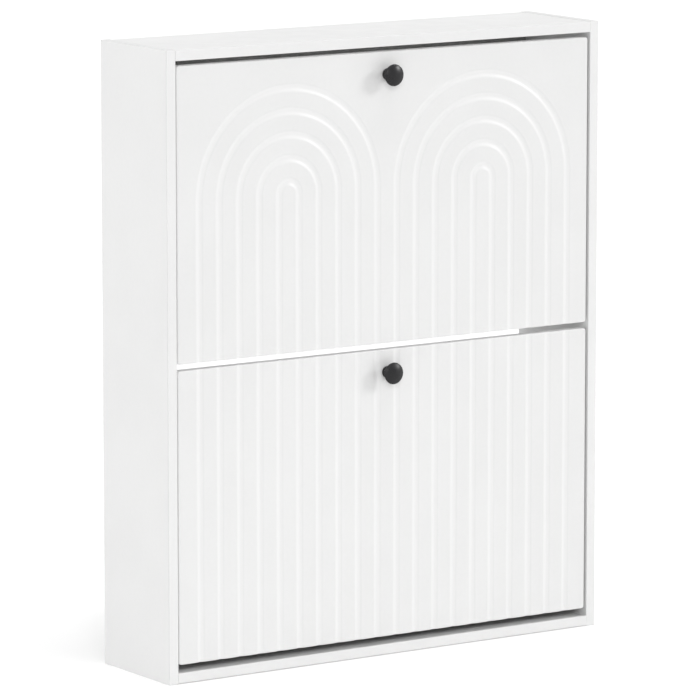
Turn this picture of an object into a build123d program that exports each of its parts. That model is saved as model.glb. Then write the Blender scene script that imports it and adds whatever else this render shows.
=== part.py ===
from build123d import *
import os
from math import cos, radians, sin

# A slim shoe cabinet with two tip-out flaps, each carrying a two-tier shoe rack.
# X runs to the right, the front faces -Y, Z is up. The origin is on the floor, under the middle of the
# whole cabinet, knobs included. Everything is in millimetres.

os.makedirs("parts", exist_ok=True)

# Case
case_width = 800
case_depth = 190
case_height = 970
board = 16
end_inset = 1  # the top and bottom panels sit this far inside the ends of the side panels
panel_edge = 0.6
rail_height = 80
rail_levels = {"bottom": 17, "middle": 475, "top": 873}
wall_hole_r = 3
wall_hole_spacing = 600

# Flap fronts
flap_width = 762
flap_height = 453
flap_thickness = 16
flap_recess = 2.5
flap_levels = {"lower": 29, "upper": 492}
flap_corner = 4.5
flap_edge = 1.6
groove_pitch = 36
groove_count = 20
groove_width = 15
groove_depth = 2
arch_count = 5
arch_level = 246.5  # height of the arches' centres above the flap's bottom edge

# Knobs
knob_projection = 25
knob_drop = 35
knob_head_r = 17
knob_foot_r = 9.6
knob_base_r = 9
knob_neck_r = 7.4
knob_neck_low = (8.5, 5.4)  # radius, and distance from the flap, where the foot ends
knob_neck_high = (8.4, 13.4)  # and where the head's underside begins
knob_bead_at = 2.6
knob_neck_at = 9
knob_rim_r = 16
knob_rim_at = (17.2, 19.1, 21)
knob_screw_r = 2
knob_screw_hole_r = 2.25
knob_screw_depth = 10
knob_bore_depth = 11

# Hinge
opening_angle = 55
pivot_height = 50
pivot_setback = 10
pin_r = 4
pin_clearance = 0.08
stop_radius = 50
stop_angle = 85
stop_slot_clearance = 0.4
pivot_plate_thickness = 2.5
pivot_plate_half_width = 13
pivot_plate_overhang = 16
pivot_pin_length = 14
stop_pin_length = 9

# Flip brackets
bracket_outer_x = 376
bracket_thickness = 3
bracket_boss_r = 9
bracket_boss_outer_x = 380
bracket_boss_inner_x = 369
bracket_corner = 12
bracket_window_corner = 5
# the plate's outline and windows, back from and above the pivot
bracket_outline = [(-10, -38), (88, -50), (137, -28), (137, 185), (58, 352), (-10, 352)]
bracket_windows = [
    [(6, 196), (56, 196), (8, 316)],
    [(88, 26), (126, 26), (126, 146), (96, 136), (46, 136)],
    [(90, 215), (108, 215), (68, 300), (56, 300)],
]
flange_width = 36
flange_screw_inset = 21.6
flange_low = -38
flange_high = 352
ledge_width = 14
ledge_thickness = 2.5
sole_ledge_length = 170
toe_ledge_length = 34

# Shoe racks: for each tier a sole board that slopes down to the back and a toe board square to it
rack_board = 9
rack_length = 745
rack_pitch = 195
rack_slope = 68
rack_corner = (95, -32)  # inner corner of the lower tier, back from and above the pivot
sole_length = 200
toe_length = 42

# Fasteners
cam_r = 7.5
cam_bore_depth = 12.5
cam_height = 12.3
cam_setback = 34
cam_slot_length = 9
cam_slot_width = 1.6
cam_slot_depth = 1.5
cam_bolt_r = 3
cam_bolt_shank = 27.5
cam_bolt_head_r = 3.4
cam_bolt_head_length = 6
cam_bolt_thread_r = 2.5
cam_bolt_thread_length = 10
cam_bolt_clearance = 0.3
side_bore_depth = 11
end_bore_r = 4
dowel_r = 4
dowel_length = 30
dowel_inset = 10
dowel_clearance = 1
bolt_inset = 30
panel_dowel_inset = 62
rail_dowel_offset = 24
screw_r = 1.75
screw_length = 10
screw_head_r = 3.5
screw_head_height = 2
screw_pilot_depth = 10.5
screw_hole_r = 2
flange_screw_heights = (-24, 90, 215, 338)
sole_screw_distances = (50, 150)
knob_screw_head_r = 4
knob_screw_head_height = 2.4
fit_gap = 0.05

# Derived planes, levels and directions
sides = {"left": -1, "right": 1}
tiers = {"lower": 0, "upper": 1}
back_y = (case_depth + knob_projection - flap_recess) / 2
front_y = back_y - case_depth
mid_y = (front_y + back_y) / 2
flap_front_y = front_y + flap_recess
flap_back_y = flap_front_y + flap_thickness
pivot_y = flap_back_y + pivot_setback
inner_x = case_width / 2 - board
pivot_plate_x = inner_x - pivot_plate_thickness
bracket_inner_x = bracket_outer_x - bracket_thickness
panel_levels = {"bottom": end_inset, "top": case_height - end_inset - board}
groove_r = (groove_width**2 / 4 + groove_depth**2) / (2 * groove_depth)
groove_y = flap_front_y + groove_depth - groove_r
slope = radians(rack_slope)
along = (cos(slope), -sin(slope))  # back and up, for a step down a sole board towards the toes
across = (sin(slope), cos(slope))  # back and up, for a step off a sole board towards the shoe


# Places of the joints between the boards of the case, as Y, Z
def panel_bolts(level):
    return [(y, level + board / 2) for y in (front_y + bolt_inset, back_y - bolt_inset)]


def panel_dowels(level):
    inset = panel_dowel_inset
    return [(y, level + board / 2) for y in (front_y + inset, back_y - inset)]


def rail_bolts(level):
    return [(back_y - board / 2, level + rail_height / 2)]


def rail_dowels(level):
    y, z = rail_bolts(level)[0]
    return [(y, z - rail_dowel_offset), (y, z + rail_dowel_offset)]


bolt_places = []
dowel_places = []
for level in panel_levels.values():
    bolt_places += panel_bolts(level)
    dowel_places += panel_dowels(level)
for level in rail_levels.values():
    bolt_places += rail_bolts(level)
    dowel_places += rail_dowels(level)


# Places around a flap's pivot, as Y, Z
def from_pivot(level, back, up):
    return (pivot_y + back, level + pivot_height + up)


def on_stop_line(level, distance):
    """A place on the line from the pivot pin through the stop pin."""
    angle = radians(stop_angle)
    return from_pivot(level, distance * cos(angle), distance * sin(angle))


def on_rack(level, tier, down, off):
    """A place measured from a tier's inner corner, down its sole board and off it."""
    back = rack_corner[0] + down * along[0] + off * across[0]
    up = rack_corner[1] + tier * rack_pitch + down * along[1] + off * across[1]
    return from_pivot(level, back, up)


# Planes that fasteners sit on, each facing the way its fastener's head does
def cam_planes(faces):
    """faces lists Y, Z and the normal of the board face that each pair of cams is let into."""
    x = inner_x - cam_setback
    return [
        Plane(origin=(side * x, y, z), x_dir=(side, 0, 0), z_dir=normal)
        for side in sides.values()
        for y, z, normal in faces
    ]


def panel_cam_planes(level):
    return cam_planes([(y, level, (0, 0, -1)) for y, z in panel_bolts(level)])


def rail_cam_planes(level):
    return cam_planes([(back_y, z, (0, 1, 0)) for y, z in rail_bolts(level)])


def knob_screw_plane(level):
    origin = (0, flap_back_y, level + flap_height - knob_drop)
    return Plane(origin=origin, x_dir=(1, 0, 0), z_dir=(0, 1, 0))


def flange_screw_planes(level, side):
    x = side * (bracket_inner_x - flange_screw_inset)
    y = flap_back_y + bracket_thickness
    return [
        Plane(origin=(x, y, level + pivot_height + up), x_dir=(1, 0, 0), z_dir=(0, 1, 0))
        for up in flange_screw_heights
    ]


def sole_screw_planes(level, side, tier):
    x = side * (bracket_inner_x - ledge_width / 2)
    under = -rack_board - ledge_thickness
    return [
        Plane(
            origin=(x, *on_rack(level, tier, -distance, under)),
            x_dir=(1, 0, 0),
            z_dir=(0, -across[0], -across[1]),
        )
        for distance in sole_screw_distances
    ]


def toe_screw_planes(level, side, tier):
    x = side * (bracket_inner_x - ledge_width / 2)
    place = on_rack(level, tier, rack_board + ledge_thickness, toe_length / 2)
    return [Plane(origin=(x, *place), x_dir=(1, 0, 0), z_dir=(0, along[0], along[1]))]


def rack_screw_planes(level, side):
    planes = []
    for tier in tiers.values():
        planes += sole_screw_planes(level, side, tier) + toe_screw_planes(level, side, tier)
    return planes


def pivot_plate_screw_places(level):
    distances = (-pivot_plate_overhang, stop_radius / 2, stop_radius + pivot_plate_overhang)
    return [on_stop_line(level, distance) for distance in distances]


def pivot_plate_screw_planes(level, side):
    x = side * (pivot_plate_x + screw_head_height)
    return [
        Plane(origin=(x, y, z), x_dir=(0, 1, 0), z_dir=(-side, 0, 0))
        for y, z in pivot_plate_screw_places(level)
    ]


# Operations on the part being built
def drill(plane, radius, depth):
    """Takes a round hole out, from a plane inwards."""
    with BuildSketch(plane) as hole:
        Circle(radius)
    extrude(hole.sketch, amount=-depth, mode=Mode.SUBTRACT)


def add_screw(plane, shank_r, shank_length, head_r, head_height):
    """Adds a headed screw whose head rests on a plane."""
    with BuildSketch(plane) as shank:
        Circle(shank_r)
    extrude(shank.sketch, amount=-shank_length)
    with BuildSketch(plane) as head:
        Circle(head_r)
    extrude(head.sketch, amount=head_height)


def extrude_circles(x, places, radius, amount, mode=Mode.ADD):
    """Extrudes a circle at each Y, Z place along X, from x by amount."""
    with BuildSketch(Plane.YZ.offset(x)) as circles:
        with Locations(*places):
            Circle(radius)
    extrude(circles.sketch, amount=amount, mode=mode)


def bore_ends(bolts, dowels):
    """Bores both ends of a board that spans the case, for its cam bolts and dowels."""
    dowel_depth = dowel_length - dowel_inset + dowel_clearance
    for side in sides.values():
        x = side * inner_x
        extrude_circles(x, bolts, end_bore_r, -side * cam_setback, Mode.SUBTRACT)
        extrude_circles(x, dowels, dowel_r + fit_gap, -side * dowel_depth, Mode.SUBTRACT)


# Side panels
for side_name, side in sides.items():
    with BuildPart() as side_panel:
        with Locations((side * (inner_x + board / 2), mid_y, case_height / 2)):
            Box(board, case_depth, case_height)
        chamfer(side_panel.edges(), panel_edge)
        x = side * inner_x
        depth = side * side_bore_depth
        extrude_circles(x, bolt_places, cam_bolt_thread_r + fit_gap, depth, Mode.SUBTRACT)
        extrude_circles(x, dowel_places, dowel_r + fit_gap, depth, Mode.SUBTRACT)
        for level in flap_levels.values():
            places = pivot_plate_screw_places(level)
            extrude_circles(x, places, screw_r + fit_gap, depth, Mode.SUBTRACT)
    side_panel.part.label = f"{side_name}_side_panel"
    export_step(side_panel.part, f"parts/{side_name}_side_panel.step")

# Top and bottom panels
for panel_name, level in panel_levels.items():
    with BuildPart() as panel:
        with Locations((0, mid_y, level + board / 2)):
            Box(2 * inner_x, case_depth, board)
        chamfer(panel.edges().filter_by(Axis.X), panel_edge)
        bore_ends(panel_bolts(level), panel_dowels(level))
        for plane in panel_cam_planes(level):
            drill(plane, cam_r + fit_gap, cam_bore_depth)
    panel.part.label = f"{panel_name}_panel"
    export_step(panel.part, f"parts/{panel_name}_panel.step")

# Back rails; the top one has the holes that fix the cabinet to a wall
for rail_name, level in rail_levels.items():
    with BuildPart() as rail:
        with Locations((0, back_y - board / 2, level + rail_height / 2)):
            Box(2 * inner_x, board, rail_height)
        chamfer(rail.edges().filter_by(Axis.X), panel_edge)
        bore_ends(rail_bolts(level), rail_dowels(level))
        for plane in rail_cam_planes(level):
            drill(plane, cam_r + fit_gap, cam_bore_depth)
        if rail_name == "top":
            for x in (-wall_hole_spacing / 2, wall_hole_spacing / 2):
                origin = (x, back_y, level + rail_height / 2)
                drill(Plane(origin=origin, z_dir=(0, 1, 0)), wall_hole_r, board)
    rail.part.label = f"{rail_name}_back_rail"
    export_step(rail.part, f"parts/{rail_name}_back_rail.step")

# Cam locks, let into the undersides of the panels and the backs of the rails
all_cam_planes = []
for level in panel_levels.values():
    all_cam_planes += panel_cam_planes(level)
for level in rail_levels.values():
    all_cam_planes += rail_cam_planes(level)
with BuildPart() as cam_locks:
    for plane in all_cam_planes:
        with BuildSketch(plane):
            Circle(cam_r - fit_gap)
        extrude(amount=-cam_height)
        bolt_origin = plane.origin - plane.z_dir * (board / 2)
        bolt_plane = Plane(origin=bolt_origin, z_dir=-plane.x_dir)
        drill(bolt_plane, cam_bolt_head_r + cam_bolt_clearance, cam_r)
        with BuildSketch(plane):
            Rectangle(cam_slot_length, cam_slot_width)
            Rectangle(cam_slot_width, cam_slot_length)
        extrude(amount=-cam_slot_depth, mode=Mode.SUBTRACT)
cam_locks.part.label = "cam_locks"
export_step(cam_locks.part, "parts/cam_locks.step")

# Cam bolts, screwed into the side panels
with BuildPart() as cam_bolts:
    for side in sides.values():
        x = side * inner_x
        head_x = x - side * cam_bolt_shank
        extrude_circles(x, bolt_places, cam_bolt_thread_r, side * cam_bolt_thread_length)
        extrude_circles(x, bolt_places, cam_bolt_r, -side * cam_bolt_shank)
        extrude_circles(head_x, bolt_places, cam_bolt_head_r, -side * cam_bolt_head_length)
cam_bolts.part.label = "cam_bolts"
export_step(cam_bolts.part, "parts/cam_bolts.step")

# Wooden dowels
with BuildPart() as dowels:
    for side in sides.values():
        x = side * (inner_x + dowel_inset)
        extrude_circles(x, dowel_places, dowel_r, -side * dowel_length)
dowels.part.label = "dowels"
export_step(dowels.part, "parts/dowels.step")

# Pivot plates on the side panels, each with a pivot pin and a stop pin
for flap_name, level in flap_levels.items():
    for side_name, side in sides.items():
        with BuildPart() as pivot_plate:
            with BuildSketch(Plane.YZ.offset(side * pivot_plate_x)):
                with Locations(on_stop_line(level, stop_radius / 2)):
                    SlotCenterToCenter(
                        stop_radius + 2 * pivot_plate_overhang,
                        2 * pivot_plate_half_width,
                        rotation=stop_angle,
                    )
            extrude(amount=side * pivot_plate_thickness)
            for distance, length in ((0, pivot_pin_length), (stop_radius, stop_pin_length)):
                place = on_stop_line(level, distance)
                extrude_circles(side * pivot_plate_x, [place], pin_r, -side * length)
            for plane in pivot_plate_screw_planes(level, side):
                drill(plane, screw_hole_r, pivot_plate_thickness)
                with BuildSketch(plane):
                    Circle(screw_head_r + fit_gap)
                extrude(amount=screw_head_height, mode=Mode.SUBTRACT)
        pivot_plate.part.label = f"{flap_name}_{side_name}_pivot_plate"
        export_step(pivot_plate.part, f"parts/{flap_name}_{side_name}_pivot_plate.step")

with BuildPart() as pivot_plate_screws:
    for level in flap_levels.values():
        for side in sides.values():
            for plane in pivot_plate_screw_planes(level, side):
                add_screw(plane, screw_r, screw_length, screw_head_r, screw_head_height)
pivot_plate_screws.part.label = "pivot_plate_screws"
export_step(pivot_plate_screws.part, "parts/pivot_plate_screws.step")

# Flap fronts. The lower one has straight flutes over its full height; on the upper one the same flutes
# join in pairs over two sets of nested arches.
arch_center_x = groove_pitch * arch_count
groove_places = [groove_pitch * (i + 0.5 - groove_count / 2) for i in range(groove_count)]
for flap_name, level in flap_levels.items():
    arched = flap_name == "upper"
    groove_top = level + (arch_level if arched else flap_height)
    with BuildPart() as flap_front:
        with Locations((0, (flap_front_y + flap_back_y) / 2, level + flap_height / 2)):
            Box(flap_width, flap_thickness, flap_height)
        fillet(flap_front.edges().filter_by(Axis.Y), flap_corner)
        fillet(flap_front.faces().sort_by(Axis.Y)[0].edges(), flap_edge)
        with BuildSketch(Plane.XY.offset(level)):
            with Locations(*[(x, groove_y) for x in groove_places]):
                Circle(groove_r)
        extrude(amount=groove_top - level, mode=Mode.SUBTRACT)
        if arched:
            for center_x in (-arch_center_x, arch_center_x):
                for arch in range(arch_count):
                    with BuildSketch(Plane.XY.offset(groove_top)):
                        with Locations((center_x + groove_pitch * (arch + 0.5), groove_y)):
                            Circle(groove_r)
                    axis = Axis((center_x, 0, groove_top), (0, -1, 0))
                    revolve(axis=axis, revolution_arc=180, mode=Mode.SUBTRACT)
        drill(knob_screw_plane(level), knob_screw_hole_r, flap_thickness)
        for side in sides.values():
            for plane in flange_screw_planes(level, side):
                drill(plane, screw_r + fit_gap, screw_pilot_depth)
    flap_front.part.label = f"{flap_name}_flap_front"
    export_step(flap_front.part, f"parts/{flap_name}_flap_front.step")

# Knobs: a foot, a waisted neck and a domed head, turned about the screw
rim_start, rim_middle, rim_end = knob_rim_at
for flap_name, level in flap_levels.items():
    screw_plane = knob_screw_plane(level)
    knob_z = screw_plane.origin.Z
    with BuildPart() as knob:
        with BuildSketch(Plane(origin=(0, flap_front_y, knob_z), x_dir=(1, 0, 0), z_dir=(0, 0, -1))):
            with BuildLine():
                foot = Line((0, 0), (knob_base_r, 0))
                bead = ThreePointArc(foot @ 1, (knob_foot_r, knob_bead_at), knob_neck_low)
                neck = ThreePointArc(bead @ 1, (knob_neck_r, knob_neck_at), knob_neck_high)
                flare = TangentArc(neck @ 1, (knob_rim_r, rim_start), tangent=neck % 1)
                rim = ThreePointArc(flare @ 1, (knob_head_r, rim_middle), (knob_rim_r, rim_end))
                dome = TangentArc((0, knob_projection), rim @ 1, tangent=(1, 0))
                Line(dome @ 0, foot @ 0)
            make_face()
        revolve(axis=Axis((0, flap_front_y, knob_z), (0, 1, 0)))
        drill(screw_plane, knob_screw_r + fit_gap, flap_thickness + knob_bore_depth)
    knob.part.label = f"{flap_name}_knob"
    export_step(knob.part, f"parts/{flap_name}_knob.step")
    with BuildPart() as knob_screw:
        length = flap_thickness + knob_screw_depth
        add_screw(screw_plane, knob_screw_r, length, knob_screw_head_r, knob_screw_head_height)
    knob_screw.part.label = f"{flap_name}_knob_screw"
    export_step(knob_screw.part, f"parts/{flap_name}_knob_screw.step")

# Flip brackets: a plate beside the racks, a flange on the flap, ledges under the boards, a bore for the
# pivot pin and a curved slot for the stop pin
for flap_name, level in flap_levels.items():
    pivot = from_pivot(level, 0, 0)
    for side_name, side in sides.items():
        plate_plane = Plane.YZ.offset(side * bracket_inner_x)
        with BuildPart() as bracket:
            with BuildSketch(plate_plane) as plate:
                with BuildLine():
                    Polyline(*[from_pivot(level, *point) for point in bracket_outline], close=True)
                make_face()
                fillet(plate.vertices().filter_by(lambda v: v.Y > pivot_y), bracket_corner)
            extrude(amount=side * bracket_thickness)
            for window in bracket_windows:
                with BuildSketch(plate_plane) as opening:
                    with BuildLine():
                        Polyline(*[from_pivot(level, *point) for point in window], close=True)
                    make_face()
                    fillet(opening.vertices(), bracket_window_corner)
                extrude(amount=side * bracket_thickness, mode=Mode.SUBTRACT)
            flange_x = side * (bracket_inner_x - flange_width / 2)
            flange_z = level + pivot_height + (flange_low + flange_high) / 2
            with Locations((flange_x, flap_back_y + bracket_thickness / 2, flange_z)):
                Box(flange_width, bracket_thickness, flange_high - flange_low)
            with BuildSketch(plate_plane):
                for tier in tiers.values():
                    under = -rack_board - ledge_thickness / 2
                    with Locations(on_rack(level, tier, -sole_length / 2, under)):
                        Rectangle(sole_ledge_length, ledge_thickness, rotation=-rack_slope)
                    with Locations(on_rack(level, tier, -under, toe_length / 2)):
                        Rectangle(toe_ledge_length, ledge_thickness, rotation=90 - rack_slope)
            extrude(amount=-side * ledge_width)
            boss_x = side * bracket_boss_inner_x
            boss_length = side * (bracket_boss_outer_x - bracket_boss_inner_x)
            extrude_circles(boss_x, [pivot], bracket_boss_r, boss_length)
            extrude_circles(boss_x, [pivot], pin_r + pin_clearance, boss_length, Mode.SUBTRACT)
            with BuildSketch(plate_plane):
                with BuildLine(mode=Mode.PRIVATE):
                    travel = CenterArc(pivot, stop_radius, stop_angle - opening_angle, opening_angle)
                SlotArc(travel, 2 * (pin_r + stop_slot_clearance))
            extrude(amount=side * bracket_thickness, mode=Mode.SUBTRACT)
            for plane in flange_screw_planes(level, side) + rack_screw_planes(level, side):
                drill(plane, screw_hole_r, bracket_thickness)
        bracket.part.label = f"{flap_name}_{side_name}_flip_bracket"
        export_step(bracket.part, f"parts/{flap_name}_{side_name}_flip_bracket.step")

# Rack boards
for flap_name, level in flap_levels.items():
    for tier_name, tier in tiers.items():
        with BuildPart() as sole_board:
            with BuildSketch(Plane.YZ):
                with Locations(on_rack(level, tier, -sole_length / 2, -rack_board / 2)):
                    Rectangle(sole_length, rack_board, rotation=-rack_slope)
            extrude(amount=rack_length / 2, both=True)
            for side in sides.values():
                for plane in sole_screw_planes(level, side, tier):
                    drill(plane, screw_r + fit_gap, screw_pilot_depth)
        sole_board.part.label = f"{flap_name}_rack_{tier_name}_sole_board"
        export_step(sole_board.part, f"parts/{flap_name}_rack_{tier_name}_sole_board.step")
        with BuildPart() as toe_board:
            with BuildSketch(Plane.YZ):
                with Locations(on_rack(level, tier, rack_board / 2, (toe_length - rack_board) / 2)):
                    Rectangle(toe_length + rack_board, rack_board, rotation=90 - rack_slope)
            extrude(amount=rack_length / 2, both=True)
            for side in sides.values():
                for plane in toe_screw_planes(level, side, tier):
                    drill(plane, screw_r + fit_gap, screw_pilot_depth)
        toe_board.part.label = f"{flap_name}_rack_{tier_name}_toe_board"
        export_step(toe_board.part, f"parts/{flap_name}_rack_{tier_name}_toe_board.step")

# Screws that hold the brackets to the flaps and the boards to the brackets
for flap_name, level in flap_levels.items():
    with BuildPart() as bracket_screws:
        for side in sides.values():
            for plane in flange_screw_planes(level, side) + rack_screw_planes(level, side):
                add_screw(plane, screw_r, screw_length, screw_head_r, screw_head_height)
    bracket_screws.part.label = f"{flap_name}_bracket_screws"
    export_step(bracket_screws.part, f"parts/{flap_name}_bracket_screws.step")
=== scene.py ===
import math

import bmesh
import bpy
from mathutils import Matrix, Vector


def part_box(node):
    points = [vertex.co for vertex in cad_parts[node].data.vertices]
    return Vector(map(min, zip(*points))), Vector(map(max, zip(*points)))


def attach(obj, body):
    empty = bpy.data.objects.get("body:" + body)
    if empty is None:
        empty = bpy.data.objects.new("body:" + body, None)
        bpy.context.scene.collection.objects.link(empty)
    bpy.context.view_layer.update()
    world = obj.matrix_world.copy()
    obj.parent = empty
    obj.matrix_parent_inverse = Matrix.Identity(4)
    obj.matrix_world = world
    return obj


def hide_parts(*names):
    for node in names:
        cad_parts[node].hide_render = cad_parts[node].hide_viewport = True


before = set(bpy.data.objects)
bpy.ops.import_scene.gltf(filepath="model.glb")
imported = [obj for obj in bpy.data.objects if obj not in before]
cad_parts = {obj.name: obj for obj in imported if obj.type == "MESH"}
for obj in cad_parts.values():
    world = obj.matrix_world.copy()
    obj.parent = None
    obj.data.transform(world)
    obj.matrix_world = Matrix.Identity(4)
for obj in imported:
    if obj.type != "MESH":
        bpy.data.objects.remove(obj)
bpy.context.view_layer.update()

mm = 0.001

# ---------------------------------------------------------------- camera
camera_azimuth = math.radians(-33.77)
camera_elevation = math.radians(9.18)
camera_distance = 8.54
camera_lens = 281.7
camera_target = Vector((-0.011, 0.005, 0.4705))
camera_sensor = 36
camera_far = 100

back = Vector((
    math.sin(camera_azimuth) * math.cos(camera_elevation),
    -math.cos(camera_azimuth) * math.cos(camera_elevation),
    math.sin(camera_elevation),
))
camera = bpy.data.objects.new("camera", bpy.data.cameras.new("camera"))
bpy.context.scene.collection.objects.link(camera)
camera.data.lens = camera_lens
camera.data.sensor_width = camera_sensor
camera.data.clip_end = camera_far
camera.location = camera_target + back * camera_distance
camera.rotation_mode = "QUATERNION"
camera.rotation_quaternion = (-back).to_track_quat("-Z", "Y")
bpy.context.scene.camera = camera

# ---------------------------------------------------------------- light
# The world gives a dim even light. Its plain white is seen only directly and in glossy surfaces.
bpy.context.scene.view_settings.view_transform = "Standard"
pure_white = (1, 1, 1, 1)
ambient_strength = 0.35
world = bpy.data.worlds.new("studio")
world.use_nodes = True
studio = world.node_tree
ambient = studio.nodes["Background"]
ambient.inputs["Color"].default_value = pure_white
ambient.inputs["Strength"].default_value = ambient_strength
backdrop = studio.nodes.new("ShaderNodeBackground")
backdrop.inputs["Color"].default_value = pure_white
ray = studio.nodes.new("ShaderNodeLightPath")
seen = studio.nodes.new("ShaderNodeMath")
seen.operation = "MAXIMUM"
choice = studio.nodes.new("ShaderNodeMixShader")
studio.links.new(ray.outputs["Is Camera Ray"], seen.inputs[0])
studio.links.new(ray.outputs["Is Glossy Ray"], seen.inputs[1])
studio.links.new(seen.outputs["Value"], choice.inputs["Fac"])
studio.links.new(ambient.outputs["Background"], choice.inputs[1])
studio.links.new(backdrop.outputs["Background"], choice.inputs[2])
studio.links.new(choice.outputs["Shader"], studio.nodes["World Output"].inputs["Surface"])
bpy.context.scene.world = world


def add_sun(name, towards, strength, softness):
    """A sun that stands in the given direction; its softness is its width in degrees."""
    sun = bpy.data.lights.new(name, "SUN")
    sun.energy = strength
    sun.angle = math.radians(softness)
    obj = bpy.data.objects.new(name, sun)
    bpy.context.scene.collection.objects.link(obj)
    obj.rotation_mode = "QUATERNION"
    obj.rotation_quaternion = Vector(towards).to_track_quat("Z", "Y")


add_sun("key_light", (0.775, -0.517, 0.362), 1.17, 16)
add_sun("front_light", (-0.46, -0.82, 0.34), 1.02, 20)
add_sun("side_light", (-0.95, 0.22, 0.20), 1.10, 40)
add_sun("top_light", (0.0, 0.0, 1.0), 1.64, 40)


# ---------------------------------------------------------------- materials
mix_first, mix_second, mix_result = 6, 7, 2  # the colour sockets of a Mix node
noise_low, noise_high = 0.3, 0.7  # a noise texture seldom leaves this range


class Shader:
    """A material's node tree, with short ways to add and join its nodes."""

    def __init__(self, name):
        self.name = name
        self.material = bpy.data.materials.new(f"{name}_finish")
        self.material.use_nodes = True
        self.tree = self.material.node_tree
        self.tree.nodes.clear()
        output = self.add("ShaderNodeOutputMaterial")
        self.surface = self.add("ShaderNodeBsdfPrincipled")
        self.join(self.surface.outputs["BSDF"], output.inputs["Surface"])
        self.coordinates = self.add("ShaderNodeTexCoord").outputs["Object"]
        self.xyz = self.add("ShaderNodeSeparateXYZ")
        self.join(self.coordinates, self.xyz.inputs["Vector"])

    def add(self, kind, **settings):
        node = self.tree.nodes.new(kind)
        for key, value in settings.items():
            setattr(node, key, value)
        return node

    def join(self, source, target):
        self.tree.links.new(source, target)

    def put(self, socket, value):
        if isinstance(value, (int, float, tuple)):
            socket.default_value = value
        else:
            self.join(value, socket)

    def math(self, operation, *values):
        node = self.add("ShaderNodeMath", operation=operation)
        for socket, value in zip(node.inputs, values):
            self.put(socket, value)
        return node.outputs["Value"]

    def remap(self, value, low, high, to_low, to_high):
        node = self.add("ShaderNodeMapRange", interpolation_type="SMOOTHSTEP")
        self.put(node.inputs["Value"], value)
        self.put(node.inputs["From Min"], low)
        self.put(node.inputs["From Max"], high)
        self.put(node.inputs["To Min"], to_low)
        self.put(node.inputs["To Max"], to_high)
        return node.outputs["Result"]

    def noise(self, scale, detail, stretch=(1, 1, 1)):
        mapping = self.add("ShaderNodeMapping")
        self.join(self.coordinates, mapping.inputs["Vector"])
        mapping.inputs["Scale"].default_value = stretch
        node = self.add("ShaderNodeTexNoise")
        self.join(mapping.outputs["Vector"], node.inputs["Vector"])
        node.inputs["Scale"].default_value = scale
        node.inputs["Detail"].default_value = detail
        return node.outputs["Fac"]

    def vary(self, noise, to_low, to_high):
        """A noise's usual range spread over the given range."""
        return self.remap(noise, noise_low, noise_high, to_low, to_high)

    def mix(self, factor, first, second):
        node = self.add("ShaderNodeMix", data_type="RGBA")
        self.put(node.inputs["Factor"], factor)
        self.put(node.inputs[mix_first], first)
        self.put(node.inputs[mix_second], second)
        return node.outputs[mix_result]

    def shade(self, color, factor):
        """The colour multiplied by a factor that changes over the surface."""
        node = self.add("ShaderNodeVectorMath", operation="SCALE")
        self.put(node.inputs[0], color)
        self.put(node.inputs["Scale"], factor)
        return node.outputs["Vector"]

    def bump(self, height, distance):
        node = self.add("ShaderNodeBump")
        self.put(node.inputs["Height"], height)
        node.inputs["Distance"].default_value = distance
        return node.outputs["Normal"]

    def stripe(self, value, center, half_width, soft):
        """1 near the centre value, falling smoothly to 0 past the half width."""
        offset = self.math("ABSOLUTE", self.math("SUBTRACT", value, center))
        return self.remap(offset, half_width, half_width + soft, 1.0, 0.0)

    def set(self, **values):
        for key, value in values.items():
            self.put(self.surface.inputs[key.replace("_", " ")], value)


def coated_board(name, color, roughness=0.42):
    """Board with a satin white coating: faint mottling, orange peel and uneven gloss."""
    s = Shader(name)
    mottle = s.vary(s.noise(9, 4), 0.988, 1.008)
    fine = s.vary(s.noise(160, 2), 0.994, 1.004)
    s.paint = s.shade(color, s.math("MULTIPLY", mottle, fine))
    s.set(
        Base_Color=s.paint,
        Roughness=s.vary(s.noise(25, 3), roughness - 0.05, roughness + 0.05),
        Specular_IOR_Level=0.5,
        Normal=s.bump(s.noise(420, 2), 0.04 * mm),
    )
    return s


def repaint(s, color):
    s.paint = color
    s.set(Base_Color=color)


def edge_joint(s, place, tone=0.90, half_width=0.15 * mm):
    """A thin darker line along the board at the given depth; with the defaults, the hairline where the
    edge band meets the board's face.
    """
    line = s.stripe(s.xyz.outputs["Y"], place, half_width, 0.2 * mm)
    repaint(s, s.shade(s.paint, s.remap(line, 0.0, 1.0, 1.0, tone)))


def front_band(s, front):
    """The front edge band, a slightly brighter white than the faces."""
    factor = s.remap(s.xyz.outputs["Y"], front + 0.3 * mm, front + 0.5 * mm, 1.02, 1.0)
    repaint(s, s.shade(s.paint, factor))


white = (0.672, 0.672, 0.670)
# painted shade: the racks are a little darker than the white, standing in for shade inside the cabinet
rack_painted_shade_tone = (0.65, 0.65, 0.645)
# painted shade: the rails are dark grey, standing in for the shade deep inside the cabinet behind the top
# gap
rail_painted_shade_tone = (0.33, 0.33, 0.328)
# painted light: the grooves are painted lighter than the flat face, standing in for the light their
# curved walls catch
groove_painted_light_tone = (0.705, 0.705, 0.703, 1)
# painted light: the flaps' rounded edges are painted much lighter, standing in for light reaching them in
# the narrow gaps
rounded_edge_painted_light_tone = (0.82, 0.82, 0.818, 1)
band = 1.0 * mm
case_low, case_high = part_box("left_side_panel")

side_white = coated_board("side_panel_white", white)
# a darker line about a millimetre wide just behind the side panels' front corner
edge_joint(side_white, case_low.y + band, tone=0.80, half_width=0.4 * mm)
edge_joint(side_white, case_high.y - band)
front_band(side_white, case_low.y)
# the side panels' top ends are a little darker than their faces
end_face = side_white.remap(
    side_white.xyz.outputs["Z"], case_high.z - 0.5 * mm, case_high.z - 0.3 * mm, 1.0, 0.93,
)
repaint(side_white, side_white.shade(side_white.paint, end_face))

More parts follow.
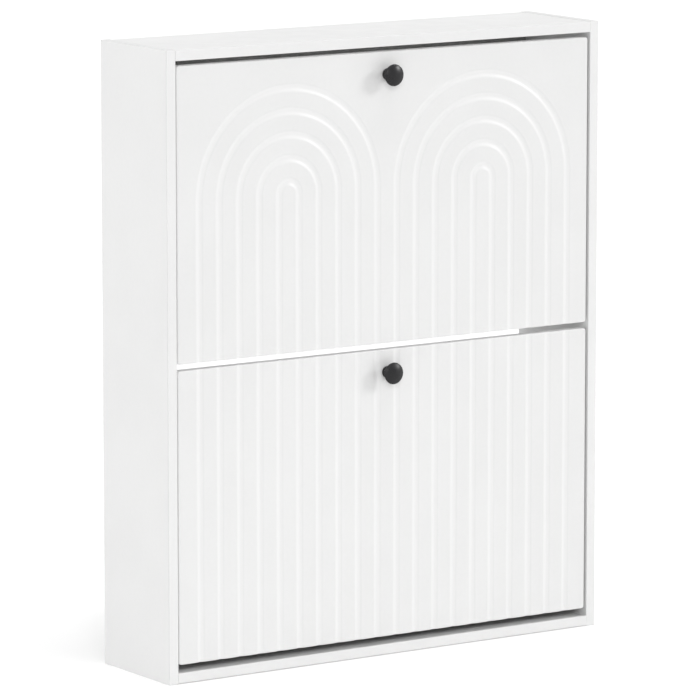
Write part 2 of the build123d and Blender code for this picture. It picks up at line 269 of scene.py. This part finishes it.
case_white = coated_board("case_panel_white", white)
edge_joint(case_white, case_low.y + band)
edge_joint(case_white, case_high.y - band)
front_band(case_white, case_low.y)

# painted shade: the rails' dark grey stands in for the shade inside the cabinet
rail_white = coated_board("rail_white", rail_painted_shade_tone)
# painted shade: the racks' slightly darker white stands in for shade inside the cabinet
rack_white = coated_board("rack_white", rack_painted_shade_tone, roughness=0.5)

# the flap fronts' vertices say how deep in a groove and how far round an edge they are
flap_white = coated_board("flap_white", white)
groove = flap_white.add("ShaderNodeAttribute", attribute_name="groove").outputs["Fac"]
# paints the grooves lighter than the flats: painted light, not a different paint
in_groove = flap_white.remap(groove, 0.05, 0.65, 0.0, 1.0)
repaint(flap_white, flap_white.mix(in_groove, flap_white.paint, groove_painted_light_tone))
# paints the rounded edges lighter than the faces: painted light that brightens the gap lines round the
# flaps
rounded = flap_white.add("ShaderNodeAttribute", attribute_name="rounded").outputs["Fac"]
repaint(flap_white, flap_white.mix(rounded, flap_white.paint, rounded_edge_painted_light_tone))


def painted(name, color, roughness, speck, gloss=0.5):
    """Painted metal or moulded plastic: fine grain and a slightly uneven gloss."""
    s = Shader(name)
    grain = s.vary(s.noise(900, 2), 1 - speck, 1 + speck)
    s.set(
        Base_Color=s.shade(color, grain),
        Roughness=s.vary(s.noise(120, 3), roughness - 0.06, roughness + 0.06),
        Normal=s.bump(s.noise(1400, 2), 0.02 * mm),
        Specular_IOR_Level=gloss,
    )
    return s


knob_black = painted("knob_black", (0.009, 0.009, 0.010), 0.33, 0.15, gloss=0.30)
bracket_plastic = painted("bracket_plastic", (0.70, 0.70, 0.69), 0.38, 0.02)
pivot_plastic = painted("pivot_plastic", (0.62, 0.62, 0.61), 0.35, 0.02)


def metal(name, color, roughness, stretch):
    """Plated metal with fine turning marks and uneven gloss."""
    s = Shader(name)
    marks = s.noise(700, 3, stretch=stretch)
    s.set(
        Base_Color=s.shade(color, s.vary(s.noise(60, 4), 0.85, 1.05)),
        Metallic=1.0,
        Roughness=s.vary(marks, roughness - 0.08, roughness + 0.1),
        Normal=s.bump(marks, 0.03 * mm),
    )
    return s


zinc = metal("zinc", (0.56, 0.56, 0.55), 0.45, (1, 1, 1))
steel = metal("steel", (0.62, 0.62, 0.63), 0.28, (1, 1, 3))


def beech_wood(name):
    """Turned beech: long fibres with short dark flecks."""
    s = Shader(name)
    fibre = s.noise(300, 5, stretch=(0.15, 1, 1))
    fleck = s.remap(s.noise(900, 2, stretch=(0.3, 1, 1)), 0.62, 0.72, 0.0, 0.6)
    wood = s.mix(fibre, (0.58, 0.36, 0.19, 1), (0.72, 0.50, 0.30, 1))
    s.set(
        Base_Color=s.mix(fleck, wood, (0.36, 0.20, 0.10, 1)),
        Roughness=s.vary(fibre, 0.55, 0.75),
        Normal=s.bump(fibre, 0.1 * mm),
    )
    return s


beech = beech_wood("beech")

finishes = {s.name: s.material for s in (
    side_white, case_white, rail_white, rack_white, flap_white, knob_black, bracket_plastic,
    pivot_plastic, zinc, steel, beech,
)}


# ---------------------------------------------------------------- flap fronts
def smooth_edges(obj):
    """Rounds the shading over narrow edges and keeps the wide faces flat."""
    for polygon in obj.data.polygons:
        polygon.use_smooth = True
    modifier = obj.modifiers.new("even_normals", "WEIGHTED_NORMAL")
    modifier.keep_sharp = True


groove_pitch = 36 * mm
grooves_per_half = 5  # the grooves on each side of an arch set's middle
groove_half = 8.25 * mm
groove_depth = 1.9 * mm
groove_steps = 12
arch_span = 180 * mm  # half the width of an arch set
arch_rise = 246.5 * mm  # the arches' centres above the board's bottom edge
arch_steps = 60
field_rows = 5
corner_r = 4.5 * mm
corner_steps = 6
edge_r = 1.6 * mm
back_edge_r = 0.6 * mm
edge_steps = 6
rim = 6 * mm  # from the grooved field's boundary to the board's outline
place_digits = 6
column_digits = 7
same_place = 1e-6
flat_direction = 1e-9  # a smaller sine or cosine never meets that side of the field
never = 1e9


def across(t):
    """Distance across the grooves measured from the nearest groove's centre line."""
    return t % groove_pitch - groove_pitch / 2


def columns():
    """Places across one half of an arch set: flats between the grooves, and the grooves in fine steps."""
    places = [0.0]
    for k in range(grooves_per_half):
        center = groove_pitch * (k + 0.5)
        for i in range(groove_steps + 1):
            places.append(center + groove_half * (2 * i / groove_steps - 1))
        places.append(groove_pitch * (k + 1))
    return places


def flap_front(name, arched):
    """A milled board in place of the CAD flap front: straight grooves, or two sets of arched ones."""
    node = f"{name}_flap_front"
    low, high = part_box(node)
    arch_z = low.z + arch_rise if arched else high.z - rim
    bm = bmesh.new()
    groove_layer = bm.verts.layers.float.new("groove")
    rounded_layer = bm.verts.layers.float.new("rounded")
    made = {}

    def depth(x, z):
        """How deep in a groove a place on the front face lies, from 0 on the flats to 1 at the bottom."""
        t = math.hypot(abs(x) - arch_span, max(0.0, z - arch_z) if arched else 0.0)
        if t >= arch_span:
            return 0.0
        u = across(t)
        if abs(u) >= groove_half:
            return 0.0
        return 0.5 * (1 + math.cos(math.pi * u / groove_half))

    def vert(x, z):
        key = (round(x, place_digits), round(z, place_digits))
        if key not in made:
            d = depth(x, z)
            made[key] = bm.verts.new((x, low.y + groove_depth * d, z))
            made[key][groove_layer] = d
        return made[key]

    def face(*corners):
        unique = list(dict.fromkeys(corners))
        if len(unique) > 2:
            bm.faces.new(unique)

    half = columns()
    xs = sorted({
        round(side * (arch_span + turn * t), column_digits)
        for side in (-1, 1) for turn in (-1, 1) for t in half
    })
    xs = [low.x + rim] + xs + [high.x - rim]
    zs = [low.z + rim + (arch_z - low.z - rim) * i / field_rows for i in range(field_rows + 1)]
    for z0, z1 in zip(zs, zs[1:]):
        for x0, x1 in zip(xs, xs[1:]):
            face(vert(x0, z0), vert(x1, z0), vert(x1, z1), vert(x0, z1))
    if arched:
        top = high.z - rim - arch_z
        outer = high.x - rim - arch_span
        angles = {math.pi * i / arch_steps for i in range(arch_steps + 1)}
        angles |= {math.atan2(top, outer), math.atan2(top, -arch_span)}
        angles = sorted(angles)

        # each arch set is a fan round its centre, closed out to the field's boundary
        def at(side, angle, r):
            c, s = math.cos(angle), math.sin(angle)
            return vert(side * (arch_span + r * c), arch_z + r * s)

        def reach(angle):
            c, s = math.cos(angle), math.sin(angle)
            return min(
                arch_span / -c if c < -flat_direction else never,
                outer / c if c > flat_direction else never,
                top / s if s > flat_direction else never,
            )

        for side in (-1, 1):
            for a0, a1 in zip(angles, angles[1:]):
                for r0, r1 in zip(half, half[1:]):
                    face(at(side, a0, r0), at(side, a0, r1), at(side, a1, r1), at(side, a1, r0))
                r0 = half[-1]
                face(at(side, a0, r0), at(side, a0, reach(a0)), at(side, a1, reach(a1)), at(side, a1, r0))

    # the boundary of the flat field, walked in order
    near = {}
    for e in [e for e in bm.edges if e.is_boundary]:
        a, b = e.verts
        near.setdefault(a, []).append(b)
        near.setdefault(b, []).append(a)
    start = min(near, key=lambda v: (v.co.x, v.co.z))
    loop = [start, near[start][0]]
    while True:
        ahead = [v for v in near[loop[-1]] if v is not loop[-2]][0]
        if ahead is start:
            break
        loop.append(ahead)

    # each boundary vertex leads to one outline place, or a corner's arc of them
    outline = []
    for v in loop:
        side = level = 0
        if abs(abs(v.co.x) - (high.x - rim)) <= same_place:
            side = math.copysign(1, v.co.x)
        if abs(v.co.z - (high.z - rim)) < same_place:
            level = 1
        elif abs(v.co.z - (low.z + rim)) < same_place:
            level = -1
        end_z = high.z if level > 0 else low.z
        if side and level:
            center = Vector((side * (high.x - corner_r), end_z - level * corner_r))
            straight_x = (v, Vector((v.co.x, end_z)), Vector((0, level)))
            straight_z = (v, Vector((side * high.x, v.co.z)), Vector((side, 0)))
            arc = []
            for i in range(corner_steps + 1):
                a = math.pi / 2 * i / corner_steps
                out = Vector((side * math.sin(a), level * math.cos(a)))
                arc.append((v, center + out * corner_r, out))
            places = [straight_x] + arc + [straight_z]
            came_from = loop[loop.index(v) - 1]
            if abs(came_from.co.x - v.co.x) < same_place:
                places.reverse()
            outline += places
        elif side:
            outline.append((v, Vector((side * high.x, v.co.z)), Vector((side, 0))))
        else:
            outline.append((v, Vector((v.co.x, end_z)), Vector((0, level))))

    def ring(r, turn, face_y, sign):
        """The outline moved in by a rounded edge's offset at one turn of that edge."""
        inset, drop = r * (1 - math.sin(turn)), r * (1 - math.cos(turn))
        made_ring = []
        for _, place, out in outline:
            p = place - out * inset
            d = depth(p.x, p.y) if sign > 0 else 0.0
            v = bm.verts.new((p.x, face_y + sign * drop + groove_depth * d, p.y))
            v[groove_layer] = d
            v[rounded_layer] = math.sin(turn) if sign < 0 else 1 - math.cos(turn)
            made_ring.append(v)
        return made_ring

    turns = [math.pi / 2 * i / edge_steps for i in range(edge_steps + 1)]
    rings = [ring(edge_r, a, low.y, 1) for a in turns]
    rings += [ring(back_edge_r, a, high.y, -1) for a in reversed(turns[::2])]
    count = len(outline)
    for i in range(count):
        j = (i + 1) % count
        face(outline[i][0], outline[j][0], rings[0][j], rings[0][i])
        for inner, outer_ring in zip(rings, rings[1:]):
            face(inner[i], inner[j], outer_ring[j], outer_ring[i])
    bm.faces.new(rings[-1])
    bmesh.ops.recalc_face_normals(bm, faces=bm.faces)
    mesh = bpy.data.meshes.new(f"{name}_front_board")
    bm.to_mesh(mesh)
    bm.free()
    obj = bpy.data.objects.new(f"{name}_front_board", mesh)
    bpy.context.scene.collection.objects.link(obj)
    mesh.materials.append(finishes["flap_white"])
    smooth_edges(obj)
    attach(obj, f"{name}_flap")
    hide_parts(node)


flap_front("lower", False)
flap_front("upper", True)

# ---------------------------------------------------------------- the other pieces are the CAD nodes
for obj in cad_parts.values():
    for slot in obj.material_slots:
        slot.material = finishes[slot.material.name]
    smooth_edges(obj)

# ---------------------------------------------------------------- floor
floor_shader = Shader("floor_pale")
floor_color = (0.92, 0.92, 0.92)
floor_shader.set(
    Base_Color=floor_shader.shade(floor_color, floor_shader.vary(floor_shader.noise(2, 3), 0.99, 1.0)),
    Roughness=0.9,
    Specular_IOR_Level=0.1,
    Emission_Color=pure_white,
    Emission_Strength=0.08,
)
floor_half = 40
floor_segments = 8
bm = bmesh.new()
bmesh.ops.create_grid(bm, x_segments=floor_segments, y_segments=floor_segments, size=floor_half)
floor_mesh = bpy.data.meshes.new("floor")
bm.to_mesh(floor_mesh)
bm.free()
floor = bpy.data.objects.new("floor", floor_mesh)
bpy.context.scene.collection.objects.link(floor)
floor_mesh.materials.append(floor_shader.material)
